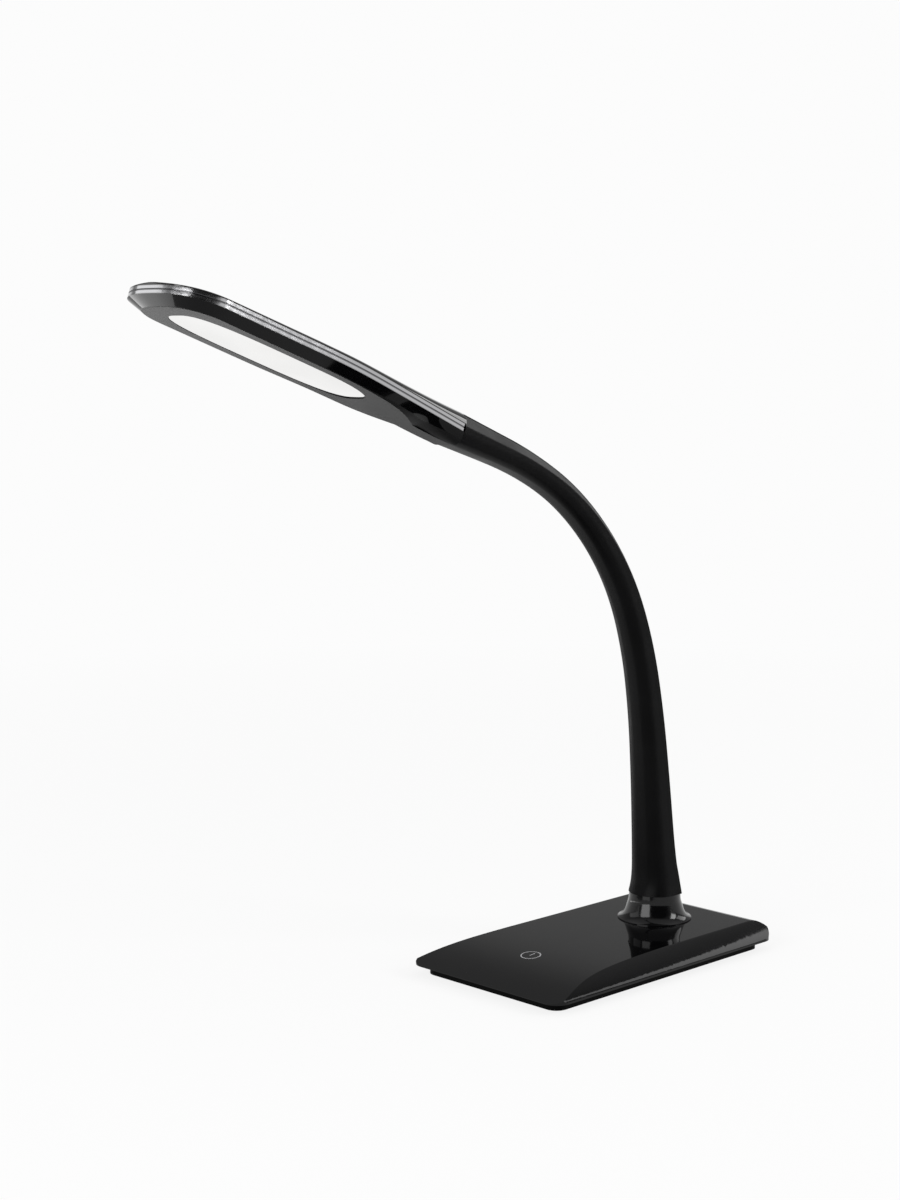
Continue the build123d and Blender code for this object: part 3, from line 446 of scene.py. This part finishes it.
def cornerArc(before, corner, after, radius):
    # first and last point and centre of the arc that rounds a corner
    into = (before - corner).normalized()
    out = (after - corner).normalized()
    half = into.angle(out) / 2
    reach = radius / sin(half)
    cut = radius * cos(half) / sin(half)
    return corner + into * cut, corner + out * cut, corner + (into + out).normalized() * reach


def roundedOutline(corners, radii):
    # closed outline through rounded corners, the same count of points whatever the sizes
    count, arcSteps, sideSteps = len(corners), sleeve["arcSteps"], sleeve["sideSteps"]
    arcs = [cornerArc(corners[i - 1], corners[i], corners[(i + 1) % count], radii[i]) for i in range(count)]
    points = []
    for i, (first, last, centre) in enumerate(arcs):
        startAngle = atan2(first.y - centre.y, first.x - centre.x)
        sweep = atan2(last.y - centre.y, last.x - centre.x) - startAngle
        sweep = (sweep + pi) % (2 * pi) - pi
        for step in range(arcSteps + 1):
            angle = startAngle + sweep * step / arcSteps
            points.append(centre + Vector((cos(angle), sin(angle))) * radii[i])
        nextFirst = arcs[(i + 1) % count][0]
        for step in range(1, sideSteps):
            points.append(last.lerp(nextFirst, step / sideSteps))
    return points


def sleeveOutline(distance):
    # across and towards the back, in the plane square to the neck
    width, depth, bevel, corner = (smoothKey(sleeve["keys"], column, distance) for column in range(1, 5))
    half = width / 2
    back = depth / 2 - sleeve["crown"]
    corners = [
        Vector((half - bevel, back)), Vector((half, back - bevel)), Vector((half, -back)),
        Vector((-half, -back)), Vector((-half, back - bevel)), Vector((bevel - half, back)),
    ]
    edge = sleeve["edgeRound"]
    crowned = []
    for point in roundedOutline(corners, [edge, edge, corner, corner, edge, edge]):
        if abs(point.y) > back - mergeDistance:
            lift = sleeve["crown"] * (1 - (point.x / half) ** 2)
            point = Vector((point.x, point.y + (lift if point.y > 0 else -lift)))
        crowned.append(point)
    return crowned


def neckRing(distance):
    centre, lean = neckState(distance)
    towardsBack = Vector((0, cos(lean), sin(lean)))
    return [centre + Vector((1, 0, 0)) * p.x + towardsBack * p.y for p in sleeveOutline(distance)]


def editShape(piece):
    shape = bmesh.from_edit_mesh(piece.data)
    shape.verts.ensure_lookup_table()
    return shape


def extrudedRings(name, rings, capped=False):
    # a circle set to the first ring, then extruded ring by ring
    deselectAll()
    bpy.ops.mesh.primitive_circle_add(vertices=len(rings[0]))
    piece = bpy.context.object
    piece.name = name
    bpy.ops.object.mode_set(mode="EDIT")
    shape = editShape(piece)
    for vert, point in zip(shape.verts, rings[0]):
        vert.co = point
    if capped:
        bpy.ops.mesh.edge_face_add()
    order = [vert.index for vert in shape.verts]
    for ring in rings[1:]:
        bpy.ops.mesh.select_all(action="DESELECT")
        shape = editShape(piece)
        for index in order:
            shape.verts[index].select = True
        shape.select_flush(True)
        bmesh.update_edit_mesh(piece.data)
        bpy.ops.mesh.extrude_edges_move()
        shape = editShape(piece)
        followed = []
        for vert in (shape.verts[index] for index in order):
            followed.append(next(e.other_vert(vert) for e in vert.link_edges if e.other_vert(vert).select))
        for vert, point in zip(followed, ring):
            vert.co = point
        shape.verts.index_update()
        order = [vert.index for vert in followed]
        bmesh.update_edit_mesh(piece.data)
    if capped:
        bpy.ops.mesh.edge_face_add()
    bpy.ops.mesh.select_all(action="SELECT")
    bpy.ops.mesh.normals_make_consistent(inside=False)
    bpy.ops.object.mode_set(mode="OBJECT")
    return piece


def dressPiece(piece, finish, smoothAngle):
    makeActive(piece)
    bpy.ops.object.shade_smooth_by_angle(angle=radians(smoothAngle))
    setFinish(piece, finish)


def buildSleeve():
    # one piece for each joint
    joints = frame["joints"]
    count = len(joints)
    rootArc, linkLength = sleeve["rootArc"], sleeve["linkLength"]
    stops = [0.0, *(rootArc + linkLength * (number + 0.5) for number in range(1, count)), sleeveEnd]
    pieces = []
    for number, joint in enumerate(joints, 1):
        start, end = stops[number - 1], stops[number]
        steps = round((end - start) / sleeve["ringStep"])
        rings = [neckRing(start + (end - start) * step / steps) for step in range(steps + 1)]
        piece = extrudedRings(f"sleeve_{number}", rings)
        dressPiece(piece, "sleeve_rubber", sleeve["smoothAngle"])
        replaced = [f"neck_sleeve_{number}"]
        if number == count:
            replaced.append(f"neck_sleeve_{number + 1}")
        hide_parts(*replaced)
        middle, reach = rootArc + linkLength * number, sleeve["bendShare"] * linkLength
        startPoint, endPoint = neckState(middle - reach)[0], neckState(middle + reach)[0]
        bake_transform(piece)
        pieces.append(piece)
    print("neck sleeve:", count, "pieces")
    return pieces


sleevePieces = buildSleeve()


def nosePoint(shape, angle):
    # across and back on a rounded nose, turned from its tip to its shoulder
    bend = 2 / head["nosePower"]
    reach = shape["noseReach"] - shape["shoulder"]
    return shape["half"] * sin(angle) ** bend, -shape["shoulder"] - reach * cos(angle) ** bend


def noseHalf(shape, back):
    # half width of a rounded nose in front of its shoulder
    power = head["nosePower"]
    part = min((-back - shape["shoulder"]) / (shape["noseReach"] - shape["shoulder"]), 1.0)
    return shape["half"] * (1 - part ** power) ** (1 / power)


def headHalf(back):
    # half width of the head's outline
    if back < -head["shoulder"]:
        return noseHalf(head, back)
    if back < head["tail"][0][0]:
        return head["half"]
    return smoothThrough(head["tail"], back)


topCover = {
    # distance towards the neck and squareness of the section, whose end meets the sleeve's bevels
    "power": ((-0.0754, 2.6), (0.02, 2.6), (0.08, 2.3), (0.1229, 2.2)),
    "foot": 0.2,  # angle at which the section starts, so its side leans in from the seam
    "seam": 0.00035,
    # distance towards the neck and height of the roof over the trim
    "roof": ((-0.0754, 0.0013), (-0.055, 0.0026), (0.02, 0.00425), (0.065, 0.0054), (0.1229, 0.0071)),
    "noseRings": 32,
    "tailRings": 32,
    "arcSteps": 40,
    "smoothAngle": 40,
}


def coverStations():
    # close together at the round nose, where the width grows fast
    noseRings, tailRings = topCover["noseRings"], topCover["tailRings"]
    stops = [nosePoint(head, pi / 2 * step / noseRings)[1] for step in range(1, noseRings + 1)]
    for step in range(1, tailRings + 1):
        stops.append(-head["shoulder"] + (head["shoulder"] + head["reach"]) * (step / tailRings))
    return stops


def coverRing(back):
    half = headHalf(back)
    roof = smoothThrough(topCover["roof"], back)
    base = head["trimTop"]
    seam = min(topCover["seam"], half / 3)
    bend = 2 / smoothThrough(topCover["power"], back)
    foot = topCover["foot"]
    points = [headPoint(-half + seam, back, base)]
    for step in range(topCover["arcSteps"] + 1):
        angle = foot + (pi - 2 * foot) * step / topCover["arcSteps"]
        side = -1 if angle < pi / 2 else 1
        across = side * half * abs(cos(angle) / cos(foot)) ** bend
        rise = (sin(angle) ** bend - sin(foot) ** bend) / (1 - sin(foot) ** bend)
        points.append(headPoint(across, back, base + seam + (roof - seam) * rise))
    points.append(headPoint(half - seam, back, base))
    return points


def buildTopCover():
    piece = extrudedRings("top_cover", [coverRing(back) for back in coverStations()], capped=True)
    dressPiece(piece, "cover_black", topCover["smoothAngle"])
    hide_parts("head_top_cover")
    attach(piece, "head")
    print("top cover:", len(piece.data.polygons), "faces")


lowerShell = {
    "facet": {"noseReach": 0.0686, "half": 0.0242, "shoulder": 0.0461},
    # distance towards the neck, half width of the underside, its level, roundness of the flank
    "belly": (
        (-0.0461, 0.0242, 0.0, 0.0), (0.010, 0.0242, 0.0, 0.0), (0.0309, 0.0232, 0.0, 0.0),
        (0.044, 0.0220, -0.00015, 0.0), (0.057, 0.0206, -0.00055, 0.0), (0.069, 0.0183, -0.00115, 0.0),
        (0.080, 0.0140, -0.0018, 0.05), (0.0885, 0.0090, -0.00235, 0.15), (0.096, 0.0046, -0.00285, 0.35),
        (0.109, 0.0052, -0.0033, 0.7), (0.1229, 0.0064, -0.0034, 1.0),
    ),
    "noseSteps": 28,
    "sideSteps": 90,
    "endSteps": 6,
    "settle": 0.2,  # share of the side over which the band's edge comes level with its foot
    "bellySteps": 16,
    "flankSteps": 8,
    # share of the way from the window to the edge, and level, of the rings inside
    "inside": ((0.97, 0.004), (0.8, 0.004), (0.7, 0.002), (0.0, 0.002)),
    "smoothAngle": 12,
}


def facetHalf(back):
    # half width of the flat underside
    if back < -lowerShell["facet"]["shoulder"]:
        return noseHalf(lowerShell["facet"], back)
    return smoothKey(lowerShell["belly"], 1, back)


def bellyLevel(back):
    return smoothKey(lowerShell["belly"], 2, back)


def shellOutlines():
    # matching points of the flat underside and the band's edge, nose to tail on one side
    facet, reach = lowerShell["facet"], head["reach"]
    noseSteps, sideSteps, endSteps = (lowerShell[key] for key in ("noseSteps", "sideSteps", "endSteps"))
    feet, edges = [], []
    for step in range(noseSteps):
        feet.append(nosePoint(facet, pi / 2 * step / noseSteps))
        edges.append(nosePoint(head, pi / 2 * step / noseSteps))
    for step in range(sideSteps + 1):
        share = step / sideSteps
        footBack = -facet["shoulder"] + (facet["shoulder"] + reach) * share
        edgeBack = -head["shoulder"] + (head["shoulder"] + reach) * share
        edgeBack += (footBack - edgeBack) * min(share / lowerShell["settle"], 1)
        feet.append((facetHalf(footBack), footBack))
        edges.append((headHalf(edgeBack), edgeBack))
    footEnd, edgeEnd = feet[-1][0], edges[-1][0]
    for step in range(1, endSteps + 1):
        share = 1 - step / endSteps
        feet.append((footEnd * share, reach))
        edges.append((edgeEnd * share, reach))
    return feet, edges


def windowOutline(count):
    # as many points round one side of the window
    half, reach = (size + head["windowGap"] for size in head["windowHalf"])
    bend = 2 / head["windowPower"]
    window = [(0.0, -reach)]
    for index in range(1, count - 1):
        angle = pi * (index / (count - 1) - 0.5)
        window.append((half * cos(angle) ** bend, reach * abs(sin(angle)) ** bend * (1 if angle > 0 else -1)))
    return window + [(0.0, reach)]


def fullRing(halfPoints):
    # one side's (across, back, level) points and their mirror, as one loop
    right = [headPoint(*point) for point in halfPoints]
    left = [headPoint(-point[0], *point[1:]) for point in halfPoints[-2:0:-1]]
    return right + left


def between(near, far, share):
    return near[0] + (far[0] - near[0]) * share, near[1] + (far[1] - near[1]) * share


def flankPoint(foot, edge, share):
    # between the underside and the band's edge: straight at the nose, rounded at the throat
    level = bellyLevel(foot[1])
    roundness = smoothKey(lowerShell["belly"], 3, foot[1])
    bottom = Vector((foot[0], level))
    top = Vector((edge[0], head["trimLevel"]))
    middle = (bottom + top) / 2
    lower = bottom.lerp(top, 1 / 3).lerp(Vector((middle.x, level)), roundness)
    upper = bottom.lerp(top, 2 / 3).lerp(Vector((edge[0], middle.y)), roundness)
    rest = 1 - share
    point = bottom * rest**3 + lower * 3 * rest**2 * share + upper * 3 * rest * share**2 + top * share**3
    return point.x, between(foot, edge, share)[1], point.y


def buildLowerShell():
    # rings from the window out over the belly, up the flank and back inside to the window
    feet, edges = shellOutlines()
    window = windowOutline(len(feet))
    rings = []
    bellySteps, flankSteps = lowerShell["bellySteps"], lowerShell["flankSteps"]
    for step in range(bellySteps + 1):
        ring = [between(near, far, step / bellySteps) for near, far in zip(window, feet)]
        rings.append(fullRing([(across, back, bellyLevel(back)) for across, back in ring]))
    for step in range(1, flankSteps + 1):
        rings.append(fullRing([flankPoint(foot, edge, step / flankSteps) for foot, edge in zip(feet, edges)]))
    for share, level in lowerShell["inside"]:
        rings.append(fullRing([(*between(near, far, share), level) for near, far in zip(window, edges)]))
    rings.append(rings[0])
    piece = extrudedRings("lower_shell", rings)
    makeActive(piece)
    bpy.ops.object.mode_set(mode="EDIT")
    bpy.ops.mesh.select_all(action="SELECT")
    bpy.ops.mesh.remove_doubles(threshold=mergeDistance)
    bpy.ops.mesh.normals_make_consistent(inside=False)
    bpy.ops.object.mode_set(mode="OBJECT")
    dressPiece(piece, "head_black", lowerShell["smoothAngle"])
    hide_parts("head_lower_shell")
    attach(piece, "head")
    print("lower shell:", len(piece.data.polygons), "faces")


buildTopCover()
buildLowerShell()


touchKey = {
    "middle": (0.0, -0.054),
    "ringRadius": 0.0054,
    "ringSteps": 96,
    "lineWidth": 0.0007,
    "barLength": 0.0042,
    "barShift": 0.0012,
    "barCuts": 6,
    "startHeight": 0.03,  # above the cover, from where the print is laid down on it
    "proud": 0.00004,
}


def layOnCover(piece):
    # drop the flat print on the cover's top
    makeActive(piece)
    wrap = piece.modifiers.new("wrap", "SHRINKWRAP")
    wrap.target = nodes["base_cover"]
    wrap.wrap_method = "PROJECT"
    wrap.use_project_x = wrap.use_project_y = False
    wrap.use_project_z = True
    wrap.use_negative_direction = True
    wrap.use_positive_direction = False
    wrap.offset = touchKey["proud"]
    bpy.ops.object.modifier_apply(modifier=wrap.name)


def buildTouchSymbol():
    deselectAll()
    middleX, middleY = touchKey["middle"]
    height, lineWidth = touchKey["startHeight"], touchKey["lineWidth"]
    bpy.ops.mesh.primitive_circle_add(
        vertices=touchKey["ringSteps"], radius=touchKey["ringRadius"] + lineWidth / 2,
        fill_type="NGON", location=(middleX, middleY, height))
    ring = bpy.context.object
    ring.name = "touch_symbol"
    bpy.ops.object.transform_apply(location=True, rotation=False, scale=False)
    bpy.ops.object.mode_set(mode="EDIT")
    bpy.ops.mesh.select_all(action="SELECT")
    bpy.ops.mesh.inset(thickness=lineWidth, depth=0)
    bpy.ops.mesh.delete(type="FACE")
    bpy.ops.mesh.select_all(action="DESELECT")
    bpy.ops.mesh.primitive_plane_add(size=1, location=(middleX, middleY + touchKey["barShift"], height))
    bpy.ops.transform.resize(value=(lineWidth, touchKey["barLength"], 1))
    bpy.ops.mesh.subdivide(number_cuts=touchKey["barCuts"])
    bpy.ops.object.mode_set(mode="OBJECT")
    layOnCover(ring)
    ring.data.materials.append(finishes["symbol_print"])
    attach(ring, "base")
    print("touch symbol laid on the cover")


buildTouchSymbol()


camera = {
    "azimuth": 45.645,
    "elevation": 7.978,
    "place": (0.7755, -0.8761, 0.3470),
    "focalPixels": 2111.75,
    "centrePixel": (448, 642),
    "imageSize": (900, 1200),
    "sensor": 36.0,
    "clip": (0.05, 100),
}


def addCamera():
    data = bpy.data.cameras.new("camera")
    eye = bpy.data.objects.new("camera", data)
    scene.collection.objects.link(eye)
    scene.camera = eye
    wide, high = camera["imageSize"]
    data.sensor_width = camera["sensor"]
    data.lens = camera["sensor"] * camera["focalPixels"] / high
    data.shift_x = (wide / 2 - camera["centrePixel"][0]) / high
    data.shift_y = (camera["centrePixel"][1] - high / 2) / high
    data.clip_start, data.clip_end = camera["clip"]
    azimuth, elevation = radians(camera["azimuth"]), radians(camera["elevation"])
    back = Vector((sin(azimuth) * cos(elevation), -cos(azimuth) * cos(elevation), sin(elevation)))
    eye.location = camera["place"]
    eye.rotation_mode = "QUATERNION"
    eye.rotation_quaternion = (-back).to_track_quat("-Z", "Y")


studio = {
    "floorSize": 40.0,
    "floorColor": (0.93, 0.93, 0.93),
    "floorRoughness": 0.9,
    "floorIor": 1.05,
    "paleLevel": 0.973,
    # share of plain paper at these distances from the lamp
    "paleNear": (0.25, 0.86),
    "paleFar": (1.3, 1.0),
    # height of the direction (sine of its angle above the floor) and the light that comes from there
    "sky": ((0.0, 0.973), (0.185, 0.973), (0.245, 0.3), (0.6, 0.33), (0.85, 0.75), (1.0, 0.75)),
    "darkSky": ((0.0, 0.973), (0.185, 0.973), (0.225, 0.02), (0.6, 0.03), (0.85, 0.6), (1.0, 0.75)),
    # direction of the unlit end of the studio, and how near to it the dark begins and is full
    "darkEnd": (0.83, -0.55, 0.0),
    "darkEdge": (0.6, 0.8),
    "aim": (0.0, -0.08, 0.15),
    # turn from the camera about the lamp, distance, height of the middle, width, height, light it sends out
    "softboxes": {
        "keyFront": (-43, 1.6, 0.66, 1.1, 0.95, 6.0),
        "keyLeft": (-95, 1.6, 0.78, 1.3, 0.62, 1.3),
        "stripRight": (79, 1.5, 0.76, 0.55, 0.6, 11.0),
        "fillRight": (118, 1.5, 0.75, 1.2, 0.5, 3.0),
    },
    # softbox behind the lamp that reaches only the sleeve and brings out its back bevel
    "bevelLight": (152, 1.5, 0.95, 0.9, 0.6, 2.0),
    # low panel that lies on the floor beyond the nose and lights the bevel from below
    "panelPlace": (-0.6, -0.38, 0.004),
    "panelSize": (0.6, 0.8),
    "panelLight": 4.0,
}


def paleForTheEye(material, share):
    # the eye and the gloss see part of the surface as plain paper, and the rest keeps its shading
    paths = addNode(material, "ShaderNodeLightPath").outputs
    pale = addNode(material, "ShaderNodeEmission", {"Color": (1, 1, 1, 1), "Strength": studio["paleLevel"]})
    seen = paths["Is Camera Ray"]
    for kind in ("Is Glossy Ray", "Is Transmission Ray"):
        either = addNode(material, "ShaderNodeMath", operation="MAXIMUM")
        link(material, seen, either.inputs[0])
        link(material, paths[kind], either.inputs[1])
        seen = either.outputs["Value"]
    part = addNode(material, "ShaderNodeMath", operation="MULTIPLY")
    link(material, seen, part.inputs[0])
    link(material, share, part.inputs[1])
    mix = addNode(material, "ShaderNodeMixShader")
    link(material, part.outputs["Value"], mix.inputs["Fac"])
    link(material, material.node_tree.nodes["Principled BSDF"].outputs["BSDF"], mix.inputs[1])
    link(material, pale.outputs["Emission"], mix.inputs[2])
    link(material, mix.outputs["Shader"], material.node_tree.nodes["Material Output"].inputs["Surface"])


def addFloor():
    deselectAll()
    bpy.ops.mesh.primitive_plane_add(size=studio["floorSize"])
    floor = bpy.context.object
    floor.name = "floor"
    roughness, ior = studio["floorRoughness"], studio["floorIor"]
    material = newMaterial("floorPaper", studio["floorColor"], roughness, ior=ior)[0]
    distance = addNode(material, "ShaderNodeVectorMath", operation="LENGTH")
    link(material, objectCoords(material), distance.inputs[0])
    (near, nearShare), (far, farShare) = studio["paleNear"], studio["paleFar"]
    paleForTheEye(material, remap(material, distance.outputs["Value"], nearShare, farShare, near, far))
    floor.data.materials.append(material)


def skyRamp(world, height, levels):
    ramp = addNode(world, "ShaderNodeValToRGB")
    ramp.color_ramp.interpolation = "EASE"
    fillRamp(ramp, [(place, (light, light, light)) for place, light in levels])
    link(world, height, ramp.inputs["Fac"])
    return ramp.outputs["Color"]


def addWorld():
    # pale to a little above the horizon, dim above it and brighter overhead, with one unlit end
    world = bpy.data.worlds.new("world")
    scene.world = world
    world.use_nodes = True
    direction = addNode(world, "ShaderNodeTexCoord").outputs["Generated"]
    split = addNode(world, "ShaderNodeSeparateXYZ")
    link(world, direction, split.inputs["Vector"])
    towards = addNode(world, "ShaderNodeVectorMath", {1: studio["darkEnd"]}, operation="DOT_PRODUCT")
    link(world, direction, towards.inputs[0])
    begins, isFull = studio["darkEdge"]
    share = addNode(world, "ShaderNodeMapRange", {"From Min": begins, "From Max": isFull})
    share.interpolation_type = "SMOOTHSTEP"
    link(world, towards.outputs["Value"], share.inputs["Value"])
    mix = addNode(world, "ShaderNodeMix", data_type="RGBA")
    link(world, share.outputs["Result"], mix.inputs["Factor"])
    link(world, skyRamp(world, split.outputs["Z"], studio["sky"]), mix.inputs["A"])
    link(world, skyRamp(world, split.outputs["Z"], studio["darkSky"]), mix.inputs["B"])
    link(world, mix.outputs["Result"], world.node_tree.nodes["Background"].inputs["Color"])


def addLamp(name, place, aim, size, light):
    # an area lamp whose surface sends out the given light, white paper being 1
    data = bpy.data.lights.new(name, "AREA")
    data.shape = "RECTANGLE"
    data.size, data.size_y = size
    data.energy = light * pi * size[0] * size[1]
    lamp = bpy.data.objects.new(name, data)
    scene.collection.objects.link(lamp)
    lamp.location = place
    lamp.rotation_mode = "QUATERNION"
    lamp.rotation_quaternion = (Vector(aim) - Vector(place)).to_track_quat("-Z", "Y")
    lamp.visible_camera = False
    return lamp


def addSoftbox(name, turn, distance, height, width, tall, light):
    aim = Vector(studio["aim"])
    azimuth = radians(camera["azimuth"] + turn)
    place = Vector((aim.x + distance * sin(azimuth), aim.y - distance * cos(azimuth), height))
    return addLamp(name, place, aim, (width, tall), light)


def addLights():
    for name, values in studio["softboxes"].items():
        addSoftbox(name, *values)
    bevelLit = bpy.data.collections.new("bevelLit")
    for piece in sleevePieces:
        bevelLit.objects.link(piece)
    addSoftbox("bevelLight", *studio["bevelLight"]).light_linking.receiver_collection = bevelLit
    panel = Vector(studio["panelPlace"])
    addLamp("lowPanel", panel, panel + Vector((0, 0, 1)), studio["panelSize"], studio["panelLight"])


addCamera()
addFloor()
addWorld()
addLights()
print("studio ready")
